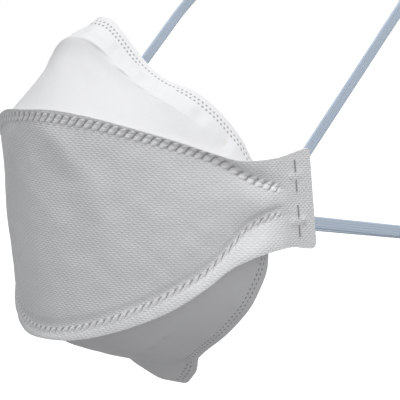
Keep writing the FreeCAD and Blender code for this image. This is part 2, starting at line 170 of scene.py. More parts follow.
class DustMaskSizes(bpy.types.PropertyGroup):
    """Sizes of the webs, welds, foam, chin tab and bands."""

    cover: length("Outer cover", "Thickness of the outer web", 0.4)
    stiffener: length("Stiffener", "Thickness of the centre panel's stiffening web", 0.4)
    filter: length("Filter", "Thickness of the filter web", 1.2)
    inner: length("Inner cover", "Thickness of the web that faces the wearer", 0.3)
    tab: length("Side tab", "Thickness of the layers welded together at a side tab", 1.3)
    tab_top_corner: length("Tab top corner", "Radius of the side tab's upper free corner", 1.4)
    tab_bottom_corner: length("Tab bottom corner", "Radius of the side tab's lower free corner", 2.8)
    bar_pitch: length("Weld bar pitch", "Distance between the slanted weld bars", 3.3)
    bar_height: length("Weld bar height", "How far the web puffs up between weld bars", 0.7)
    bar_reach: length("Weld bar reach", "Half the height of the row of weld bars", 2.1)
    dot_pitch: length("Weld dot pitch", "Distance between weld dots along a seal edge", 2.0)
    dot_radius: length("Weld dot radius", "Radius of a weld dot", 0.48)
    foam_length: length("Foam length", "Length of the nose foam", 86.0)
    foam_width: length("Foam width", "Width of the nose foam", 11.0)
    foam_thickness: length("Foam thickness", "Thickness of the nose foam", 3.0)
    chin_root: length("Chin tab root", "Half width of the chin tab at its fold", 26.0)
    chin_side_end: length("Chin tab side end", "Half width where the chin tab's sides end", 12.2)
    chin_tip: length("Chin tab tip", "Half width of the chin tab's straight tip", 5.5)
    chin_corner: length("Chin tab corner", "Height of the chin tab's round corners", 2.5)
    chin_length: length("Chin tab length", "How far the chin tab hangs from its fold", 13.0)
    chin_thickness: length("Chin tab thickness", "Thickness of the chin tab", 1.0)
    band_width: length("Headband width", "Width of the flat elastic", 5.0)
    band_thickness: length("Headband thickness", "Thickness of the flat elastic", 1.0)


class DustMaskColours(bpy.types.PropertyGroup):
    """Colours of the webs, foam, elastic, metal and floor."""

    panel_web: colour("Panel web", "Top and bottom panels", (0.90, 0.90, 0.905))
    centre_web: colour("Centre web", "Embossed centre panel", (0.90, 0.90, 0.905))
    filter_web: colour("Filter web", "Filter layers", (0.86, 0.86, 0.84))
    stiffener_web: colour("Stiffener web", "Stiffening layer", (0.80, 0.81, 0.82))
    inner_web: colour("Inner web", "Layer that faces the wearer", (0.88, 0.88, 0.875))
    foam: colour("Foam", "Nose foam", (0.42, 0.43, 0.44))
    elastic: colour("Elastic", "Headbands", (0.62, 0.72, 0.86))
    aluminium: colour("Aluminium", "Nose clip", (0.80, 0.81, 0.82))
    steel: colour("Steel", "Staples", (0.30, 0.30, 0.31))
    floor: colour("Floor", "Studio floor", (0.26, 0.26, 0.26))


def size(name):
    """A size from the settings, in millimetres."""
    return getattr(bpy.context.scene.dust_mask_sizes, name) / MM


def tint(name):
    """A colour from the settings, with full alpha."""
    return (*getattr(bpy.context.scene.dust_mask_colours, name), 1.0)


# ---------------------------------------------------------------- shape of the mask

def ease(x):
    """0 to 1 with level ends."""
    x = np.clip(x, 0, 1)
    return x * x * (3 - 2 * x)


def smooth(stations, share):
    """Values at shares of the way, on a smooth curve through the stations."""
    at = np.array(stations, float)
    x, y = at[:, 0], at[:, 1]
    step = np.diff(x)
    rise = np.diff(y) / step
    slope = np.zeros(len(x))
    slope[1:-1] = (rise[:-1] * step[1:] + rise[1:] * step[:-1]) / (step[1:] + step[:-1])
    i = np.clip(np.searchsorted(x, share) - 1, 0, len(x) - 2)
    t = (share - x[i]) / step[i]
    return ((2 * t**3 - 3 * t**2 + 1) * y[i] + (t**3 - 2 * t**2 + t) * step[i] * slope[i]
            + (3 * t**2 - 2 * t**3) * y[i + 1] + (t**3 - t**2) * step[i] * slope[i + 1])


def ripple(a, b, spacing, seed):
    """Smooth random bumps from -1 to 1 over flat coordinates, about a spacing apart."""
    cells = 64
    heights = np.random.default_rng(seed).uniform(-1, 1, (cells, cells))
    x, y = a / spacing, b / spacing
    i, j = np.floor(x).astype(int), np.floor(y).astype(int)
    s, t = ease(x - i), ease(y - j)
    i, j, i1, j1 = i % cells, j % cells, (i + 1) % cells, (j + 1) % cells
    low = heights[i, j] * (1 - s) + heights[i1, j] * s
    high = heights[i, j1] * (1 - s) + heights[i1, j1] * s
    return low * (1 - t) + high * t


def bezier(t):
    """Points and directions on the curved half of the centre panel's plan."""
    poles = np.array([(0, -DEPTH), (FRONT_PULL, -DEPTH), (HALF_WIDTH, -TAB_LENGTH - SIDE_PULL),
                      (HALF_WIDTH, -TAB_LENGTH)])
    t = np.asarray(t)[..., None]
    point = ((1 - t)**3 * poles[0] + 3 * (1 - t)**2 * t * poles[1] + 3 * (1 - t) * t**2 * poles[2]
             + t**3 * poles[3])
    along = ((1 - t)**2 * (poles[1] - poles[0]) + 2 * (1 - t) * t * (poles[2] - poles[1])
             + t**2 * (poles[3] - poles[2]))
    return point, along / np.linalg.norm(along, axis=-1, keepdims=True)


def runs_along(points):
    """Distance along a line of points, at each point."""
    return np.concatenate([[0], np.cumsum(np.linalg.norm(np.diff(points, axis=0), axis=1))])


PLAN_T = np.linspace(0, 1, 4001)
PLAN_RUNS = runs_along(bezier(PLAN_T)[0])
PLAN_LENGTH = PLAN_RUNS[-1]
HALF_LENGTH = PLAN_LENGTH + TAB_LENGTH


def plan(share):
    """Points and outward normals of the centre panel seen from above."""
    side = np.where(share < 0, -1.0, 1.0)
    run = np.abs(share) * HALF_LENGTH
    point, along = bezier(np.interp(run, PLAN_RUNS, PLAN_T))
    on_tab = run >= PLAN_LENGTH
    x = np.where(on_tab, HALF_WIDTH, point[..., 0])
    y = np.where(on_tab, run - HALF_LENGTH, point[..., 1])
    zero = np.zeros_like(x)
    return (np.stack([side * x, y, zero], -1), np.stack([side * along[..., 1], -along[..., 0], zero], -1))


def fall(front, tab, stations, share):
    """Height that falls from the front of the mask to the side tab."""
    return front + (tab - front) * smooth(stations, np.abs(share))


def top_edge(share):
    return fall(FRONT_TOP, TAB_HALF_HEIGHT, TOP_EDGE_FALL, share)


def bottom_edge(share):
    return -fall(FRONT_BOTTOM, TAB_HALF_HEIGHT, BOTTOM_EDGE_FALL, share)


def top_weld(share):
    return fall(FRONT_TOP - TOP_WELD_INSET, TAB_WELD_TOP, TOP_WELD_FALL, share)


def bottom_weld(share):
    return -fall(FRONT_BOTTOM - BOTTOM_WELD_INSET, TAB_WELD_BOTTOM, BOTTOM_WELD_FALL, share)


def relief(share, z):
    """How far the centre panel stands out from its plan: a pillow between flared edges."""
    high, low = top_weld(share), bottom_weld(share)
    across = (2 * z - high - low) / (high - low)
    pillow = PILLOW * smooth(PILLOW_SHARE, np.abs(share)) * (1 - across**2)
    wing = np.where(z > high, (z - high) / (top_edge(share) - high), (low - z) / (low - bottom_edge(share)))
    flare = WING_FLARE * smooth(FLARE_SHARE, np.abs(share)) * (1 - (1 - wing)**2)
    return np.where((z >= low) & (z <= high), pillow, flare)


def centre_point(share, z, depth=0.0):
    """Points of the centre panel at heights, a depth below its outer face."""
    point, normal = plan(share)
    out = relief(share, z) - depth
    lifted = point + normal * out[..., None]
    lifted[..., 2] += z
    return lifted


def curve_through(points, count=4001):
    """Evenly spaced points on a smooth curve through the given points."""
    points = np.array(points, float)
    knots = runs_along(points)
    last = len(points) - 1
    step = np.diff(knots)
    matrix = np.eye(last + 1)
    right = np.zeros((last + 1, 3))
    for i in range(1, last):
        matrix[i, i - 1:i + 2] = step[i - 1], 2 * (step[i - 1] + step[i]), step[i]
        right[i] = 6 * ((points[i + 1] - points[i]) / step[i] - (points[i] - points[i - 1]) / step[i - 1])
    bend = np.linalg.solve(matrix, right)
    at = np.linspace(0, knots[-1], count)
    i = np.clip(np.searchsorted(knots, at) - 1, 0, last - 1)
    span = step[i][:, None]
    a = (knots[i + 1] - at)[:, None] / span
    b = 1 - a
    line = (a * points[i] + b * points[i + 1]
            + ((a**3 - a) * bend[i] + (b**3 - b) * bend[i + 1]) * span**2 / 6)
    runs = runs_along(line)
    even = np.linspace(0, runs[-1], count)
    return np.stack([np.interp(even, runs, line[:, k]) for k in range(3)], -1), runs[-1]


class Panel:
    """A panel stretched from a weld line of the centre panel to its own seal edge."""

    def __init__(self, weld, seal_shares, ahead, height, swell):
        self.weld = weld
        self.up = 1 if height > 0 else -1
        self.swell = swell
        end = np.array([SEAM_END])
        root = centre_point(end, weld(end), PINCH_DEPTH)[0]
        half = [(x * HALF_WIDTH, -y * ahead, z * height) for x, y, z in seal_shares]
        half.append((root[0] - 0.3, root[1] - 0.5, root[2] + self.up * PANEL_END_HEIGHT))
        mirrored = [(-x, y, z) for x, y, z in reversed(half[1:])]
        self.seal, self.seal_length = curve_through(mirrored + half)

    def ends(self, u):
        """Weld ends and seal ends of the lines across the panel at u, from -1 to 1."""
        start = centre_point(u * SEAM_END, self.weld(u * SEAM_END), PINCH_DEPTH)
        stations = np.linspace(-1, 1, len(self.seal))
        end = np.stack([np.interp(u, stations, self.seal[:, k]) for k in range(3)], -1)
        return start, end

    def reach(self, u):
        """Distance from weld line to seal edge."""
        start, end = self.ends(u)
        return np.linalg.norm(end - start, axis=-1)

    def place(self, u, v, depth):
        """Points at u, one for each column, and v, one for each point, a depth below the outer face."""
        step = 0.01
        start, end = self.ends(u)
        inside = np.clip(u, -1 + step, 1 - step)
        before, after, level = self.ends(inside - step), self.ends(inside + step), self.ends(inside)
        v = v[..., None]
        along = ((after[0] - before[0])[:, None] * (1 - v) + (after[1] - before[1])[:, None] * v)
        across = np.broadcast_to((level[1] - level[0])[:, None], along.shape)
        normal = np.cross(along, across) * self.up
        normal /= np.linalg.norm(normal, axis=-1, keepdims=True)
        swell = self.swell * 4 * v * (1 - v) * (1 - u[:, None, None]**2)
        return start[:, None] * (1 - v) + end[:, None] * v + normal * (swell - depth[..., None])


TOP = Panel(top_weld, TOP_SEAL, NOSE_BACK, NOSE_HEIGHT, TOP_SWELL)
BOTTOM = Panel(bottom_weld, BOTTOM_SEAL, CHIN_AHEAD, -CHIN_DROP, BOTTOM_SWELL)


# ---------------------------------------------------------------- meshes

def quads(index):
    """Four-sided faces between neighbouring columns and rows of point numbers."""
    corners = [index[:-1, :-1], index[1:, :-1], index[1:, 1:], index[:-1, 1:]]
    return np.stack([c.ravel() for c in corners], -1)


def make_object(name, points, faces, material, values=None, caps=()):
    """An object from points in millimetres and four-sided faces, with named values on its points."""
    mesh = bpy.data.meshes.new(name)
    faces = np.asarray(faces)
    corners = np.concatenate([faces.ravel()] + [np.asarray(cap) for cap in caps]).astype(np.int32)
    counts = [4] * len(faces) + [len(cap) for cap in caps]
    starts = np.concatenate([[0], np.cumsum(counts)[:-1]]).astype(np.int32)
    mesh.vertices.add(len(points))
    mesh.vertices.foreach_set("co", (points * MM).astype(np.float32).ravel())
    mesh.loops.add(len(corners))
    mesh.loops.foreach_set("vertex_index", corners)
    mesh.polygons.add(len(counts))
    mesh.polygons.foreach_set("loop_start", starts)
    mesh.update(calc_edges=True)
    mesh.validate()
    for key, value in (values or {}).items():
        if value.ndim == 2:
            mesh.attributes.new(key, "FLOAT_VECTOR", "POINT").data.foreach_set(
                "vector", value.astype(np.float32).ravel())
        else:
            mesh.attributes.new(key, "FLOAT", "POINT").data.foreach_set("value", value.astype(np.float32))
    mesh.shade_smooth()
    mesh.set_sharp_from_angle(angle=math.radians(60))
    mesh.materials.append(material)
    piece = bpy.data.objects.new(name, mesh)
    bpy.context.scene.collection.objects.link(piece)
    return piece


def flat_values(web):
    """Flat coordinates as one row of three values for each point."""
    return np.concatenate([web, np.zeros(web.shape[:2] + (1,))], -1).reshape(-1, 3)


def sheet_object(name, outer, inner, web, weld, material):
    """A thin closed sheet between two grids of points.

    web holds flat coordinates. weld darkens the web where it is above 0, for weld dots and for painted shade
    in weld-bar grooves and along folds, and lightens it below 0, a painted highlight on weld-bar puffs.
    """
    columns, rows = outer.shape[:2]
    count = columns * rows
    index = np.arange(count).reshape(columns, rows)
    rim = np.concatenate([index[:, 0], index[-1, 1:], index[-2::-1, -1], index[0, -2:0:-1]])
    after = np.roll(rim, -1)
    faces = np.concatenate([quads(index), quads(index + count)[:, ::-1],
                            np.stack([after, rim, rim + count, after + count], -1)])
    i, j = columns // 2, rows // 2
    facing = np.cross(outer[i + 1, j] - outer[i, j], outer[i, j + 1] - outer[i, j])
    if np.dot(facing, outer[i, j] - inner[i, j]) < 0:
        faces = faces[:, ::-1]
    values = {"web_mm": np.concatenate([flat_values(web)] * 2), "weld": np.concatenate([weld.ravel()] * 2)}
    points = np.concatenate([outer.reshape(-1, 3), inner.reshape(-1, 3)])
    return make_object(name, points, faces, material, values)


def tube_object(name, rings, web, material):
    """A closed tube through rings of points, with flat ends."""
    columns, rows = rings.shape[:2]
    index = np.arange(columns * rows).reshape(columns, rows)
    faces = quads(np.concatenate([index, index[:, :1]], 1))
    caps = [index[0], index[-1, ::-1]]
    middle = rings[columns // 2]
    facing = np.cross(rings[columns // 2 + 1, 0] - middle[0], middle[1] - middle[0])
    if np.dot(facing, middle[0] - middle.mean(0)) < 0:
        faces = faces[:, ::-1]
        caps = [cap[::-1] for cap in caps]
    return make_object(name, rings.reshape(-1, 3), faces, material, {"web_mm": flat_values(web)}, caps)


def finish_piece(piece, body, slot, *nodes):
    """Makes a piece move with a body and stand for its model nodes. slot is not used."""
    if body:
        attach(piece, body)
    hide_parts(*nodes)
    return piece


# ---------------------------------------------------------------- materials

class NodeTree:
    """A node tree under construction."""

    def __init__(self, tree):
        self.tree = tree

    def add(self, kind, inputs=None, **settings):
        """Adds a node. An input is a value, or an output socket to link from."""
        made = self.tree.nodes.new("ShaderNode" + kind)
        for key, value in settings.items():
            setattr(made, key, value)
        for key, value in (inputs or {}).items():
            self.join(value, made.inputs[key])
        return made

    def join(self, value, socket):
        if isinstance(value, bpy.types.NodeSocket):
            self.tree.links.new(value, socket)
        else:
            socket.default_value = value

    def math(self, operation, *values):
        made = self.add("Math", dict(enumerate(values)), operation=operation)
        return made.outputs[0]


class Shader(NodeTree):
    """A node material under construction."""

    def __init__(self, name):
        self.material = bpy.data.materials.new(name)
        self.material.use_nodes = True
        super().__init__(self.material.node_tree)
        self.surface = self.tree.nodes["Principled BSDF"]

    def mix(self, factor, a, b):
        return self.add("Mix", {0: factor, 6: a, 7: b}, data_type="RGBA").outputs[2]

    def noise(self, vector, scale, detail=2.0, roughness=0.5):
        made = self.add("TexNoise", {"Vector": vector, "Scale": scale, "Detail": detail,
                                     "Roughness": roughness})
        return made.outputs["Fac"]

    def turned(self, vector, angle, stretch):
        """Coordinates turned by an angle in degrees and stretched."""
        made = self.add("Mapping", {"Vector": vector, "Rotation": (0, 0, math.radians(angle)),
                                    "Scale": stretch}, vector_type="POINT")
        return made.outputs["Vector"]

    def ramp(self, value, low, high, to_low=0.0, to_high=1.0):
        made = self.add("MapRange", {"Value": value, "From Min": low, "From Max": high, "To Min": to_low,
                                     "To Max": to_high}, interpolation_type="SMOOTHSTEP")
        return made.outputs["Result"]

    def bump(self, height, distance, strength=1.0, under=None):
        inputs = {"Height": height, "Distance": distance * MM, "Strength": strength}
        if under is not None:
            inputs["Normal"] = under
        return self.add("Bump", inputs).outputs["Normal"]

    def finish(self, colour, roughness, normal, **constants):
        for key, value in (("Base Color", colour), ("Roughness", roughness), ("Normal", normal)):
            self.join(value, self.surface.inputs[key])
        for key, value in constants.items():
            self.surface.inputs[key.replace("_", " ").title()].default_value = value
        return self.material


def shade(colour, factor):
    """A colour made darker or lighter."""
    return tuple(min(1.0, c * factor) for c in colour[:3]) + (1.0,)


def fibres(shader, web):
    """Fine tangled fibres: two crossing sets of stretched streaks."""
    first = shader.noise(shader.turned(web, 28, (0.55, 3.4, 1)), 1.0, 2.0)
    second = shader.noise(shader.turned(web, -41, (0.5, 3.0, 1)), 1.0, 2.0)
    return shader.math("MAXIMUM", first, second)


def web_material(name, colour, fuzz, emboss=0.0, weld_mark_and_shade_factor=0.6):
    """Bonded fibre web. fuzz is the height of its fibres and emboss of its dashes, in millimetres."""
    shader = Shader(name)
    web = shader.add("Attribute", attribute_name="web_mm").outputs["Vector"]
    weld = shader.add("Attribute", attribute_name="weld").outputs["Fac"]
    streaks = fibres(shader, web)
    clouds = shader.noise(web, 0.09, 3.0, 0.6)
    tone = shader.mix(shader.ramp(streaks, 0.42, 0.72), shade(colour, 0.955), colour)
    tone = shader.mix(shader.ramp(clouds, 0.3, 0.7), shade(colour, 0.97), tone)
    normal = shader.bump(streaks, fuzz, 0.8)
    if emboss:
        dash_pitch, row_pitch = 2.3, 1.76
        waves = shader.turned(web, 9, (2 * math.pi / dash_pitch, 2 * math.pi / row_pitch, 0))
        parts = shader.add("SeparateXYZ", {"Vector": waves}).outputs
        beside = shader.math("MULTIPLY_ADD", shader.math("COSINE", parts["X"]), 0.5, 0.5)
        across = shader.math("MULTIPLY_ADD", shader.math("COSINE", parts["Y"]), 0.5, 0.5)
        rows = []
        for x, y in ((beside, across), (shader.math("SUBTRACT", 1.0, beside),
                                        shader.math("SUBTRACT", 1.0, across))):
            rows.append(shader.math("MULTIPLY", shader.math("POWER", x, 0.4), shader.math("POWER", y, 1.6)))
        uneven = shader.ramp(shader.noise(web, 0.55), 0.25, 0.75, -0.12, 0.12)
        dash = shader.ramp(shader.math("ADD", shader.math("MAXIMUM", *rows), uneven), 0.15, 0.95)
        tone = shader.mix(dash, shade(colour, 0.95), tone)
        normal = shader.bump(dash, emboss, 0.9, normal)
    # Painted highlight where weld is below 0, on the weld bars' puffs. Darker where weld is above 0: weld
    # dots, and painted shade in the weld bars' grooves and along creases and pleats.
    tone = shader.mix(shader.ramp(weld, 0.0, -0.5), tone, shade(colour, 1.08))
    tone = shader.mix(shader.ramp(weld, 0.0, 1.0), tone, shade(colour, weld_mark_and_shade_factor))
    roughness = shader.ramp(weld, 0.0, 1.0, 0.92, 0.55)
    return shader.finish(tone, roughness, normal, Sheen_Weight=0.12, Sheen_Roughness=0.6)


def panel_web_material():
    """The smooth web of the top panel, the bottom panel and the chin tab."""
    name = "Panel web"
    return bpy.data.materials.get(name) or web_material(name, tint("panel_web"), 0.07, 0.0, 0.38)


def foam_material():
    """Open-cell foam with small pores."""
    shader = Shader("Nose foam")
    colour = tint("foam")
    web = shader.add("Attribute", attribute_name="web_mm").outputs["Vector"]
    place = shader.add("TexCoord").outputs["Object"]
    cells = shader.add("TexVoronoi", {"Vector": place, "Scale": 1500.0, "Randomness": 1.0})
    pores = cells.outputs["Distance"]
    soft = shader.noise(web, 0.6, 4.0, 0.6)
    pore_dents_and_shade = shader.ramp(pores, 0.12, 0.5)
    # Painted shade in the pores: darker towards the middle of each cell.
    tone = shader.mix(pore_dents_and_shade, shade(colour, 0.5), colour)
    tone = shader.mix(shader.ramp(soft, 0.3, 0.75), tone, shade(colour, 1.12))
    normal = shader.bump(pore_dents_and_shade, 0.35, 0.9, shader.bump(soft, 0.4, 0.5))
    return shader.finish(tone, 0.95, normal, Sheen_Weight=0.1)


def elastic_material():
    """Knitted elastic: lengthwise ribs crossed by rows of small stitches."""
    shader = Shader("Knitted elastic")
    colour = tint("elastic")
    web = shader.add("Attribute", attribute_name="web_mm").outputs["Vector"]
    stitches = shader.add("TexBrick", {"Vector": web, "Scale": 1.0,
                                       "Mortar Size": 0.12, "Mortar Smooth": 1.0, "Brick Width": 0.9,
                                       "Row Height": 0.5}, offset=0.5).outputs["Fac"]
    yarn = shader.noise(shader.turned(web, 35, (1.2, 6.0, 1)), 1.0, 2.0)
    tone = shader.mix(shader.ramp(yarn, 0.35, 0.7), shade(colour, 0.92), colour)
    # Painted shade in the gaps between stitches.
    tone = shader.mix(stitches, tone, shade(colour, 0.9))
    normal = shader.bump(shader.math("SUBTRACT", 1.0, stitches), 0.05, 0.4, shader.bump(yarn, 0.03, 0.4))
    return shader.finish(tone, 0.78, normal, Sheen_Weight=0.2, Sheen_Roughness=0.5)


def metal_material(name, colour, roughness, grain):
    """Drawn or rolled metal with fine lengthwise scratches. grain stretches them along each axis."""
    shader = Shader(name)
    place = shader.add("TexCoord").outputs["Object"]
    scratches = shader.noise(shader.add("Mapping", {"Vector": place, "Scale": grain}).outputs["Vector"],
                             1.0, 4.0, 0.6)
    patches = shader.noise(place, 220.0, 2.0)
    tone = shader.mix(shader.ramp(patches, 0.35, 0.7), shade(colour, 0.82), colour)
    rough = shader.ramp(scratches, 0.3, 0.7, roughness - 0.07, roughness + 0.1)
    normal = shader.bump(scratches, 0.02, 0.5)
    return shader.finish(tone, rough, normal, Metallic=1.0)


# ---------------------------------------------------------------- weld marks

def weld_bars(share, rise, fade):
    """Height, painted shade between the puffs and painted highlight on the puffs of slanted bars; rise is
    the height above the weld line.
    """
    slant, widest, roundness, base_level = 0.8, 0.84, 0.35, 0.45
    phase = (share * HALF_LENGTH - slant * rise) / size("bar_pitch")
    away = np.abs((phase + 0.5) % 1 - 0.5) * 2
    reached = rise / size("bar_reach")
    envelope = np.clip(1 - reached**4, 0, 1) * fade
    width = widest * np.clip(1 - reached**2, 0, 1)**roundness
    puff = np.sqrt(np.clip(1 - (away / np.maximum(width, 0.05))**2, 0, 1)) * (width > 0.05)
    height = size("bar_height") * envelope * (puff - base_level)
    return height, envelope * ease(1 - puff * 3.0), envelope * puff


def weld_dots(along, inset, double, insets=(3.0, 5.0)):
    """Marks of weld dots in one or two staggered rows inside a seal edge."""
    pitch, radius = size("dot_pitch"), size("dot_radius")
    softness = 0.16
    marks = np.zeros_like(inset)
    for row_inset, shift, shown in ((insets[0], 0.0, 1.0), (insets[1], 0.5, double)):
        beside = ((along / pitch + shift + 0.5) % 1 - 0.5) * pitch
        away = np.hypot(beside, inset - row_inset)
        marks = np.maximum(marks, shown * ease((radius + softness - away) / (2 * softness)))
    return marks


# ---------------------------------------------------------------- operators

class DustMaskStep(bpy.types.Operator):
    """Base of the steps that build the mask."""

    bl_options = {"REGISTER", "UNDO"}

    def execute(self, context):
        self.build()
        return {"FINISHED"}


class DUSTMASK_OT_camera(DustMaskStep):
    """Adds the camera at the studio angle"""

    bl_idname = "dust_mask.camera"
    bl_label = "Camera"

    def build(self):
        azimuth, elevation, roll = math.radians(48.0), math.radians(8.15), math.radians(4.72)
        aim = Vector((0.01718, -0.01066, -0.00196))
        distance = 0.75
        back = Vector((math.sin(azimuth) * math.cos(elevation), -math.cos(azimuth) * math.cos(elevation),
                       math.sin(elevation)))
        level = Vector((math.cos(azimuth), math.sin(azimuth), 0))
        rise = back.cross(level)
        right = level * math.cos(roll) - rise * math.sin(roll)
        up = level * math.sin(roll) + rise * math.cos(roll)
        lens = bpy.data.cameras.new("Camera")
        lens.lens = 160.65
        lens.sensor_width = 36
        camera = bpy.data.objects.new("Camera", lens)
        turn = Matrix((right, up, back)).transposed().to_4x4()
        camera.matrix_world = Matrix.Translation(aim + back * distance) @ turn
        bpy.context.scene.collection.objects.link(camera)
        bpy.context.scene.camera = camera


def band_points(route, angle, staple_height):
    """Points of a headband's route, in metres: back from a staple, round the head and forward again."""
    tilt = math.radians(angle)
    return [(x * MM, (y * math.cos(tilt) - STAPLE_AHEAD) * MM, (y * math.sin(tilt) + staple_height) * MM)
            for x, y in route]


def route_line(points):
    """Points read from a smooth curve whose control points are the route's points."""
    curve = bpy.data.curves.new("Headband route", "CURVE")
    curve.dimensions = "3D"
    curve.resolution_u = 40
    spline = curve.splines.new("NURBS")
    spline.points.add(len(points) - 1)
    for control, point in zip(spline.points, points):
        control.co = (*point, 1.0)
    spline.order_u = 3
    spline.use_endpoint_u = True
    holder = bpy.data.objects.new("Headband route", curve)
    read = bpy.data.meshes.new_from_object(holder)
    line = np.array([vertex.co for vertex in read.vertices], float)
    bpy.data.objects.remove(holder)
    bpy.data.curves.remove(curve)
    bpy.data.meshes.remove(read)
    return line


def band_section():
    """Outline of the ribbed elastic: points across it and out of it, in millimetres."""
    half_width, half_thickness = size("band_width") / 2, size("band_thickness") / 2
    across = np.linspace(-1, 1, 25)
    rib = 0.07 * np.cos(across * np.pi * 5)
    height = half_thickness * (0.86 + rib) * (1 - 0.55 * np.abs(across)**8)
    over = np.stack([across * half_width, height], -1)
    under = np.stack([across[::-1] * half_width, -height[::-1]], -1)
    return np.concatenate([over, under])


class DUSTMASK_OT_headbands(DustMaskStep):
    """Adds the two flat elastic headbands"""

    bl_idname = "dust_mask.headbands"
    bl_label = "Headbands"

    def build(self):
        material = elastic_material()
        for name, route, angle, staple_height in HEADBANDS:
            line = route_line(band_points(route, angle, staple_height))
            tilt = math.radians(angle)
            widthways = np.array([0, -math.sin(tilt), math.cos(tilt)])
            along = np.gradient(line, axis=0)
            along /= np.linalg.norm(along, axis=1, keepdims=True)
            outwards = np.cross(along, widthways)
            section = band_section()
            rings = (line[:, None] / MM + widthways * section[None, :, :1]
                     + outwards[:, None] * section[None, :, 1:])
            runs = np.broadcast_to(runs_along(line / MM)[:, None], rings.shape[:2])
            web = np.stack([runs, np.broadcast_to(section[None, :, 0], runs.shape)], -1)
            band = tube_object("elastic_" + name + "_headband", rings, web, material)
            finish_piece(band, name + "_band", "elastic", name + "_headband")


def tab_corner(share, radius):
    """How far a rounded free corner cuts into the side tab's height."""
    past = np.clip(np.abs(share) * HALF_LENGTH - (HALF_LENGTH - radius), 0, radius)
    return radius - np.sqrt(np.maximum(radius**2 - past**2, 0))


def row_heights(share, counts):
    """Heights of the centre cover's rows, close together where the weld bars are."""
    low = bottom_edge(share) + tab_corner(share, size("tab_bottom_corner"))
    high = top_edge(share) - tab_corner(share, size("tab_top_corner"))
    reach = size("bar_reach") + 0.2
    bottom, top = bottom_weld(share), top_weld(share)
    stops = [low, bottom - np.minimum(reach, (bottom - low) * 0.9), bottom + reach, top - reach,
             top + np.minimum(reach, (high - top) * 0.9), high]
    rows = []
    for start, stop, count in zip(stops, stops[1:], counts):
        rows += [start + (stop - start) * k / count for k in range(count)]
    return np.stack(rows + [high], -1)


def hidden_layer(name, slot, fuzz, place, outer_depth, thickness, web):
    """A web behind a cover. place gives the points at a depth below the cover's outer face."""
    material = web_material(name.replace("_", " ").capitalize(), tint(slot), fuzz)
    piece = sheet_object(name + "_web", place(outer_depth), place(outer_depth + thickness), web,
                         np.zeros_like(outer_depth), material)
    finish_piece(piece, "root", slot, name)


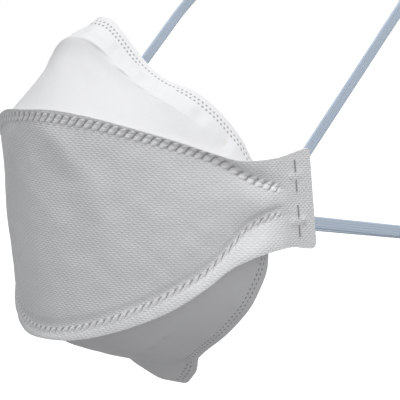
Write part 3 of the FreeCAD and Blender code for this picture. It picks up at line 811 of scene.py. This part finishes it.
class DUSTMASK_OT_centre_panel(DustMaskStep):
    """Adds the embossed centre panel with its side tabs and the layers behind it"""

    bl_idname = "dust_mask.centre_panel"
    bl_label = "Centre panel"

    def build(self):
        share = np.linspace(-1, 1, 781)
        heights = row_heights(share, (14, 20, 56, 20, 14))
        share = np.broadcast_to(share[:, None], heights.shape)
        along = share * HALF_LENGTH
        fade = ease((WEB_END_SHARE - np.abs(share)) / 0.05)
        above = heights - bottom_weld(share)
        top_shift, bottom_reach_below = 0.4, 1.3
        # The weld bars' groove marks are painted shade between the puffs; their puff marks are a painted
        # highlight on the puffs.
        top_bar, top_groove_shade, top_puff_highlight = weld_bars(share, heights - top_weld(share) + top_shift, fade)
        bottom_bar, bottom_groove_shade, bottom_puff_highlight = weld_bars(share, above, fade)
        loose = ease((0.9 - np.abs(share)) / 0.1)
        upper_side = ease((above + bottom_reach_below) / bottom_reach_below)
        bottom_bar = bottom_bar * upper_side
        # Painted shade in the bottom row's grooves, stronger on their upper side, where shadow falls.
        bottom_groove_shade = bottom_groove_shade * upper_side * (0.4 + 0.9 * ease(above / 2))
        valley = 0.5 * fade * np.exp(-((above - 3.2) / 1.3)**2)
        creases = loose * (0.35 * ripple(along, heights, 17, 3) + 0.16 * ripple(along, heights, 6, 4))
        below = np.clip(-above / (bottom_weld(share) - bottom_edge(share)), 0, 1)
        flare = 1.8 * ease(below) * smooth(FLARE_SHARE, np.abs(share))
        out = top_bar + bottom_bar + creases + self.knots(share, heights) + flare - valley
        out = out + self.front_folds(share, heights)
        start = SEAM_END - 0.01
        grown = ease((np.abs(share) - start) / (TAB_ROOT_SHARE - start))
        thickness = size("cover") + (size("tab") - size("cover")) * grown
        outer = centre_point(share, heights, -out)
        inner = centre_point(share, heights, thickness - out * (1 - grown))
        web = np.stack([along, heights], -1)
        # weld: painted shade in the grooves above 0, painted highlight on the puffs below 0.
        weld = np.maximum(top_groove_shade, bottom_groove_shade) - 0.5 * np.maximum(top_puff_highlight, bottom_puff_highlight)
        material = web_material("Embossed web", tint("centre_web"), 0.08, 0.11, 0.5)
        cover = sheet_object("centre_cover_web", outer, inner, web, weld, material)
        finish_piece(cover, "root", "embossed_web", "centre_outer_cover")
        first = size("cover") + LAYER_GAP
        second = first + size("stiffener") + LAYER_GAP
        third = second + size("filter") + LAYER_GAP
        layers = [("stiffener", "stiffener_web", first, size("stiffener"), 0.05, 5),
                  ("filter", "filter_web", second, size("filter"), 0.3, 6),
                  ("inner_cover", "inner_web", third, size("inner"), 0.12, 7)]
        for part, slot, depth, thick, fuzz, seed in layers:
            self.inner_layer(part, slot, depth, thick, fuzz, seed)

    def front_folds(self, share, heights):
        """Two soft folds that run down and outwards from the top corners of the front."""
        line = np.interp(heights, [-30, -11, 1, 17, 27, 38, 46], [37, 34.7, 31.7, 26.4, 19, 10.9, 5])
        away = np.abs(share) * HALF_LENGTH - line
        shown = ease((heights + 30) / 35) * ease((top_weld(share) - heights) / 8)
        return shown * (0.7 * np.exp(-((away - 1) / 7)**2) - 0.5 * np.exp(-((away + 13) / 7)**2))

    def knots(self, share, heights):
        """Small puckers that the staples pull up in the side tabs."""
        ahead = (1 - np.abs(share)) * HALF_LENGTH - STAPLE_AHEAD
        lift = np.zeros_like(heights)
        for middle in (UPPER_STAPLE_HEIGHT, LOWER_STAPLE_HEIGHT):
            for side in (-2.6, 2.6):
                away = np.hypot((heights - middle) / 1.5, (ahead - side) / 1.7)
                lift += (0.5 + 0.3 * ripple(ahead, heights, 2.6, 9)) * np.exp(-away**2)
        return lift

    def inner_layer(self, part, slot, depth, thick, fuzz, seed):
        """A layer behind the cover that thins towards the welds it is caught in."""
        share = np.linspace(-WEB_END_SHARE, WEB_END_SHARE, 241)
        low, high = bottom_weld(share)[:, None], top_weld(share)[:, None]
        heights = low + (high - low) * np.linspace(0, 1, 61)
        share = np.broadcast_to(share[:, None], heights.shape)
        along = share * HALF_LENGTH
        caught = ease(np.minimum(heights - low, high - heights) / 4)
        caught = caught * ease((WEB_END_SHARE - np.abs(share)) / 0.07)
        lumps = 0.12 * ripple(along, heights, 9, seed) * caught - self.front_folds(share, heights)
        outer_depth = FIRST_LAYER_DEPTH + 0.02 * seed + (depth - FIRST_LAYER_DEPTH) * caught + lumps
        hidden_layer("centre_" + part, slot, fuzz, lambda below: centre_point(share, heights, below),
                     outer_depth, 0.02 + (thick - 0.02) * caught, np.stack([along, heights], -1))


def panel_grid(panel, columns, edge_rows, rows, edge_band):
    """Columns u and rows v of a panel, with rows close together in a band inside the seal edge."""
    u = np.linspace(-1, 1, columns)
    start_of_band = 1 - edge_band / panel.reach(u)
    start_of_band = np.maximum(start_of_band, 0.3)
    share = np.linspace(0, 1, rows, endpoint=False)
    band = np.linspace(0, 1, edge_rows)
    v = np.concatenate([start_of_band[:, None] * share, start_of_band[:, None]
                        + (1 - start_of_band[:, None]) * band], 1)
    along = u * panel.seal_length / 2
    inset = (1 - v) * panel.reach(u)[:, None]
    return u, v, np.broadcast_to(along[:, None], v.shape), inset


def panel_cover(panel, name, node, out_of, double, insets, fold_shade_line, seed):
    """Outer cover of the top or bottom panel, with its folds and weld dots."""
    u, v, along, inset = panel_grid(panel, 871, 34, 30, 7.5)
    marks = weld_dots(along, inset, double(np.abs(u))[:, None], insets)
    loose = ease(v * 4) * ease(inset / 3 + 0.25) * ease((1 - np.abs(u[:, None])) * 5)
    out = loose * (0.30 * ripple(along, inset, 15, seed) + 0.12 * ripple(along, inset, 5, seed + 1))
    out = out + out_of(u[:, None], v, along, inset) - 0.22 * marks
    outer = panel.place(u, v, -out)
    inner = panel.place(u, v, size("cover") - out)
    web = np.stack([along, inset], -1)
    material = panel_web_material()
    # The folds add lines of painted shade to the weld dots' marks.
    marks = np.maximum(marks, fold_shade_line(u[:, None], v))
    piece = sheet_object(name, outer, inner, web, marks, material)
    finish_piece(piece, "root", "white_web", node)


def panel_layers(panel, side, pocket, seed):
    """Filter and inner cover of a panel, thinning towards the edges they are welded at."""
    first = size("cover") + LAYER_GAP
    layers = [("filter", "filter_web", first, size("filter"), 0.3),
              ("inner_cover", "inner_web", first + size("filter") + LAYER_GAP, size("inner"), 0.12)]
    u, v, along, inset = panel_grid(panel, 281, 14, 30, 5.0)
    caught = ease(v * 10) * ease(inset / 3.2) * ease((1 - np.abs(u[:, None])) * 12)
    for i, (part, slot, depth, thick, fuzz) in enumerate(layers):
        lumps = 0.12 * ripple(along, inset, 9, seed + i) * caught
        room = depth + pocket(along, inset) - FIRST_LAYER_DEPTH
        outer_depth = FIRST_LAYER_DEPTH + 0.05 * i + room * caught + lumps
        hidden_layer(side + "_" + part, slot, fuzz, lambda below: panel.place(u, v, below),
                     outer_depth, 0.03 + (thick - 0.03) * caught, np.stack([along, inset], -1))


def clip_room(along, inset):
    """How far the layers under the nose clip stand back to make room for it."""
    across = 1 - ease((np.abs(inset - CLIP_FROM_EDGE) - CLIP_WIDTH / 2 - 1) / 6)
    return across * (1 - ease((np.abs(along) - CLIP_LENGTH / 2 - 1) / 6))


class DUSTMASK_OT_top_panel(DustMaskStep):
    """Adds the nose panel: creased cover, filter and inner cover"""

    bl_idname = "dust_mask.top_panel"
    bl_label = "Top panel"

    def build(self):
        def double(u):
            return np.where((u < 0.27) | (u > 0.465), 1.0, 0.0)

        panel_cover(TOP, "top_cover_web", "top_outer_cover", self.folds, double, (3.0, 5.0),
                    self.fold_shade_line, 11)
        panel_layers(TOP, "top", clip_room, 21)

    def fold_shade_line(self, u, v):
        """A fine line of painted shade along the crease."""
        away = (v - smooth(CREASE_LINE, np.abs(u))) * TOP.reach(u[:, 0])[:, None]
        return 0.55 * smooth(CREASE_STRENGTH, np.abs(u)) * np.exp(-(away / 0.5)**2)

    def folds(self, u, v, along, inset):
        """The crease across the panel, the ridge of the nose clip and its small wrinkles."""
        line = smooth(CREASE_LINE, np.abs(u))
        strength = smooth(CREASE_STRENGTH, np.abs(u))
        reach = TOP.reach(u[:, 0])[:, None]
        away = (v - line) * reach
        ridge = 3.4 * strength * np.exp(-np.sqrt(away**2 + 0.08) / 6.5)
        clip = 1 - ease((np.abs(inset - CLIP_FROM_EDGE) - CLIP_WIDTH / 2 + 0.6) / 1.2)
        clip = 0.45 * clip * (1 - ease((np.abs(along) - CLIP_LENGTH / 2) / 2))
        near_clip = np.exp(-((inset - CLIP_FROM_EDGE) / 6)**2) * ease(inset / 3)
        wrinkles = near_clip * 0.7 * ripple(along, inset * 0.45, 4.6, 31)
        return ridge * ease(v * 3) * ease(inset / 4) + clip + wrinkles


class DUSTMASK_OT_bottom_panel(DustMaskStep):
    """Adds the chin panel: cover, filter and inner cover"""

    bl_idname = "dust_mask.bottom_panel"
    bl_label = "Bottom panel"

    def build(self):
        def double(u):
            return np.ones_like(u)

        panel_cover(BOTTOM, "bottom_cover_web", "bottom_outer_cover", self.folds, double, (3.8, 6.0),
                    self.fold_shade_line, 41)
        panel_layers(BOTTOM, "bottom", lambda along, inset: np.zeros_like(inset), 51)

    def pleat_distance(self, u, v):
        """How far points are from the pleat, in millimetres towards the seal edge."""
        return (v - 0.60 + 0.42 * np.abs(u)) * BOTTOM.reach(u[:, 0])[:, None]

    def fold_shade_line(self, u, v):
        """A fine line of painted shade along each pleat."""
        shown = ease((np.abs(u) - 0.1) / 0.1) * ease((0.5 - np.abs(u)) / 0.2)
        return 0.30 * shown * np.exp(-(self.pleat_distance(u, v) / 0.5)**2)

    def folds(self, u, v, along, inset):
        """A faint pleat that runs forward from each side of the chin."""
        shown = ease((np.abs(u) - 0.10) / 0.08) * ease((0.50 - np.abs(u)) / 0.2)
        away = self.pleat_distance(u, v)
        return shown * (0.9 * np.exp(-np.sqrt(away**2 + 0.15) / 2.2) * np.where(away > 0, 1, 0.8)
                        - 0.5 * np.exp(-((away - 1.4) / 0.8)**2))


class DUSTMASK_OT_nose_parts(DustMaskStep):
    """Adds the nose foam and finishes the nose clip"""

    bl_idname = "dust_mask.nose_parts"
    bl_label = "Nose clip and foam"

    def build(self):
        clip = metal_material("Rolled aluminium", tint("aluminium"), 0.34, (60, 1400, 1400))
        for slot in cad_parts["nose_clip"].material_slots:
            slot.material = clip
        reach = size("foam_length") / TOP.seal_length
        round_end = 1.6 / (size("foam_length") / 2)
        t = np.linspace(-1, 1, 121)
        u = t * reach
        past = np.clip((np.abs(t) - (1 - round_end)) / round_end, 0, 0.985)
        scale = np.sqrt(1 - past**2)[:, None]
        way = np.linspace(0, 2 * np.pi, 40, endpoint=False)
        square = 0.42
        across = np.sign(np.cos(way)) * np.abs(np.cos(way))**square * size("foam_width") / 2
        deep = np.sign(np.sin(way)) * np.abs(np.sin(way))**square * size("foam_thickness") / 2
        along = np.broadcast_to((u * TOP.seal_length / 2)[:, None], (len(t), len(way)))
        worn = 1 + 0.05 * ripple(along, across + deep * 2 + np.zeros_like(along), 7, 61)
        inset = FOAM_FROM_EDGE + across * worn * (0.9 + 0.1 * scale)
        depth = FOAM_DEPTH + deep * scale * worn
        v = 1 - inset / TOP.reach(u)[:, None]
        rings = TOP.place(u, v, depth)
        web = np.stack([along, inset + deep], -1)
        foam = tube_object("nose_foam_pad", rings, web, foam_material())
        finish_piece(foam, "root", "foam", "nose_foam")


class DUSTMASK_OT_chin_tab(DustMaskStep):
    """Adds the tongue that hangs from the chin fold"""

    bl_idname = "dust_mask.chin_tab"
    bl_label = "Chin tab"

    def build(self):
        root, side_end, tip = size("chin_root"), size("chin_side_end"), size("chin_tip")
        end, corner = size("chin_length"), size("chin_corner")
        side = np.linspace(0, 1, 30, endpoint=False)
        way = np.linspace(0, 1, 14)
        meeting = side_end - (root - side_end) / (end - corner) * corner
        downs = np.concatenate([(end - corner) * side, end - corner * (1 - way)**2])
        halves = np.concatenate([root + (side_end - root) * side, (1 - way)**2 * side_end
                                 + 2 * way * (1 - way) * meeting + way**2 * tip])
        x = np.linspace(-1, 1, 77)[:, None] * halves
        down = np.broadcast_to(downs, x.shape)
        stations = np.linspace(-1, 1, len(BOTTOM.seal))
        u = np.interp(x, BOTTOM.seal[:, 0], stations)
        edge = np.stack([np.interp(u, stations, BOTTOM.seal[:, k]) for k in range(3)], -1)
        hang = np.array([0, math.cos(CHIN_ANGLE), math.sin(CHIN_ANGLE)])
        front = np.array([0, math.sin(CHIN_ANGLE), -math.cos(CHIN_ANGLE)])
        flat = np.stack([x, np.full_like(x, -CHIN_AHEAD), np.full_like(x, -CHIN_DROP)], -1)
        rest = ease(down / 6)[..., None]
        middle = edge * (1 - rest) + flat * rest + hang * down[..., None]
        inset = np.minimum(end - down, halves - np.abs(x))
        has_dots = (end - down > 1.5) * (x > 0)
        marks = weld_dots(down, (halves - np.abs(x)) * 0.7, np.ones_like(x)) * has_dots
        out = 0.12 * ripple(x, down, 6, 71) * ease(inset) - 0.2 * marks
        outer = middle + front * out[..., None]
        inner = middle - front * (size("chin_thickness") * 0.85 - out * 0.3)[..., None]
        web = np.stack([x, down], -1)
        material = panel_web_material()
        tongue = sheet_object("chin_tab_web", outer, inner, web, marks, material)
        finish_piece(tongue, None, "white_web", "chin_tab")
        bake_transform(tongue)


class DUSTMASK_OT_staples(DustMaskStep):
    """Finishes the four staples"""

    bl_idname = "dust_mask.staples"
    bl_label = "Staples"

    def build(self):
        wire = metal_material("Staple wire", tint("steel"), 0.38, (900, 900, 120))
        for side in ("left", "right"):
            for row in ("upper", "lower"):
                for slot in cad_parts[side + "_" + row + "_staple"].material_slots:
                    slot.material = wire


class DUSTMASK_OT_stage(DustMaskStep):
    """Adds the floor, the two lamps and the white surroundings"""

    bl_idname = "dust_mask.stage"
    bl_label = "Stage"

    def build(self):
        self.add_floor()
        self.add_lamps()
        self.add_world()
        bpy.context.scene.view_settings.view_transform = "Standard"

    def show_white(self, build, output, usual, white):
        """Joins two shaders to an output: white for what the camera, metal and glass show."""
        rays = build.add("LightPath").outputs
        seen = build.math("MAXIMUM", rays["Is Camera Ray"], rays["Is Glossy Ray"])
        seen = build.math("MAXIMUM", seen, rays["Is Transmission Ray"])
        choose = build.add("MixShader", {0: seen, 1: usual.outputs[0], 2: white.outputs[0]})
        build.add(output, {"Surface": choose.outputs[0]})

    def add_floor(self):
        half, height = 3000.0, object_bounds()[0][2] / MM - 90
        corners = np.array([(-half, -half, height), (half, -half, height), (half, half, height),
                            (-half, half, height)])
        material = bpy.data.materials.new("Studio floor")
        material.use_nodes = True
        material.node_tree.nodes.clear()
        build = NodeTree(material.node_tree)
        plain = build.add("BsdfDiffuse", {"Color": tint("floor")})
        bright = build.add("BsdfDiffuse", {"Color": (0.8, 0.8, 0.8, 1)})
        glow = build.add("Emission", {"Strength": 0.75})
        lifted = build.add("AddShader", {0: bright.outputs[0], 1: glow.outputs[0]})
        self.show_white(build, "OutputMaterial", plain, lifted)
        floor = make_object("studio_floor", corners, np.array([[0, 1, 2, 3]]), material)
        floor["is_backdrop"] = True

    def add_lamps(self):
        self.add_lamp("Soft key", (0.385, -0.048, 0.92), 1.4, 1.1, 10.5)
        self.add_lamp("Side fill", (0.85, -0.5, 0.12), 1.6, 1.2, 3.4)

    def add_lamp(self, name, towards, distance, width, power):
        towards = Vector(towards).normalized()
        lamp = bpy.data.lights.new(name, "AREA")
        lamp.shape = "DISK"
        lamp.size = width
        lamp.energy = power
        holder = bpy.data.objects.new(name, lamp)
        holder.location = towards * distance
        holder.rotation_euler = towards.to_track_quat("Z", "Y").to_euler()
        bpy.context.scene.collection.objects.link(holder)

    def add_world(self):
        world = bpy.data.worlds.new("Studio")
        bpy.context.scene.world = world
        world.use_nodes = True
        world.node_tree.nodes.clear()
        build = NodeTree(world.node_tree)
        soft = build.add("Background", {"Color": (0.97, 0.985, 1.0, 1), "Strength": 0.49})
        white = build.add("Background", {"Color": (1, 1, 1, 1), "Strength": 1.0})
        self.show_white(build, "OutputWorld", soft, white)


STEPS = (DUSTMASK_OT_camera, DUSTMASK_OT_headbands, DUSTMASK_OT_centre_panel, DUSTMASK_OT_top_panel,
         DUSTMASK_OT_bottom_panel, DUSTMASK_OT_nose_parts, DUSTMASK_OT_chin_tab, DUSTMASK_OT_staples,
         DUSTMASK_OT_stage)


class DUSTMASK_PT_panel(bpy.types.Panel):
    """Lists the steps and settings of the mask in the sidebar"""

    bl_label = "Dust Mask"
    bl_idname = "DUSTMASK_PT_panel"
    bl_space_type = "VIEW_3D"
    bl_region_type = "UI"
    bl_category = "Dust Mask"

    def draw(self, context):
        for step in STEPS:
            self.layout.operator(step.bl_idname)
        for group in (context.scene.dust_mask_sizes, context.scene.dust_mask_colours):
            column = self.layout.column()
            for key in group.__annotations__:
                column.prop(group, key)


CLASSES = (DustMaskSizes, DustMaskColours, *STEPS, DUSTMASK_PT_panel)


def register():
    for cls in CLASSES:
        bpy.utils.register_class(cls)
    bpy.types.Scene.dust_mask_sizes = PointerProperty(type=DustMaskSizes)
    bpy.types.Scene.dust_mask_colours = PointerProperty(type=DustMaskColours)


def unregister():
    del bpy.types.Scene.dust_mask_colours
    del bpy.types.Scene.dust_mask_sizes
    for cls in reversed(CLASSES):
        bpy.utils.unregister_class(cls)


def main():
    register()
    bpy.ops.dust_mask.camera()
    bpy.ops.dust_mask.headbands()
    bpy.ops.dust_mask.centre_panel()
    bpy.ops.dust_mask.top_panel()
    bpy.ops.dust_mask.bottom_panel()
    bpy.ops.dust_mask.nose_parts()
    bpy.ops.dust_mask.chin_tab()
    bpy.ops.dust_mask.staples()
    bpy.ops.dust_mask.stage()


if __name__ == "__main__":
    main()
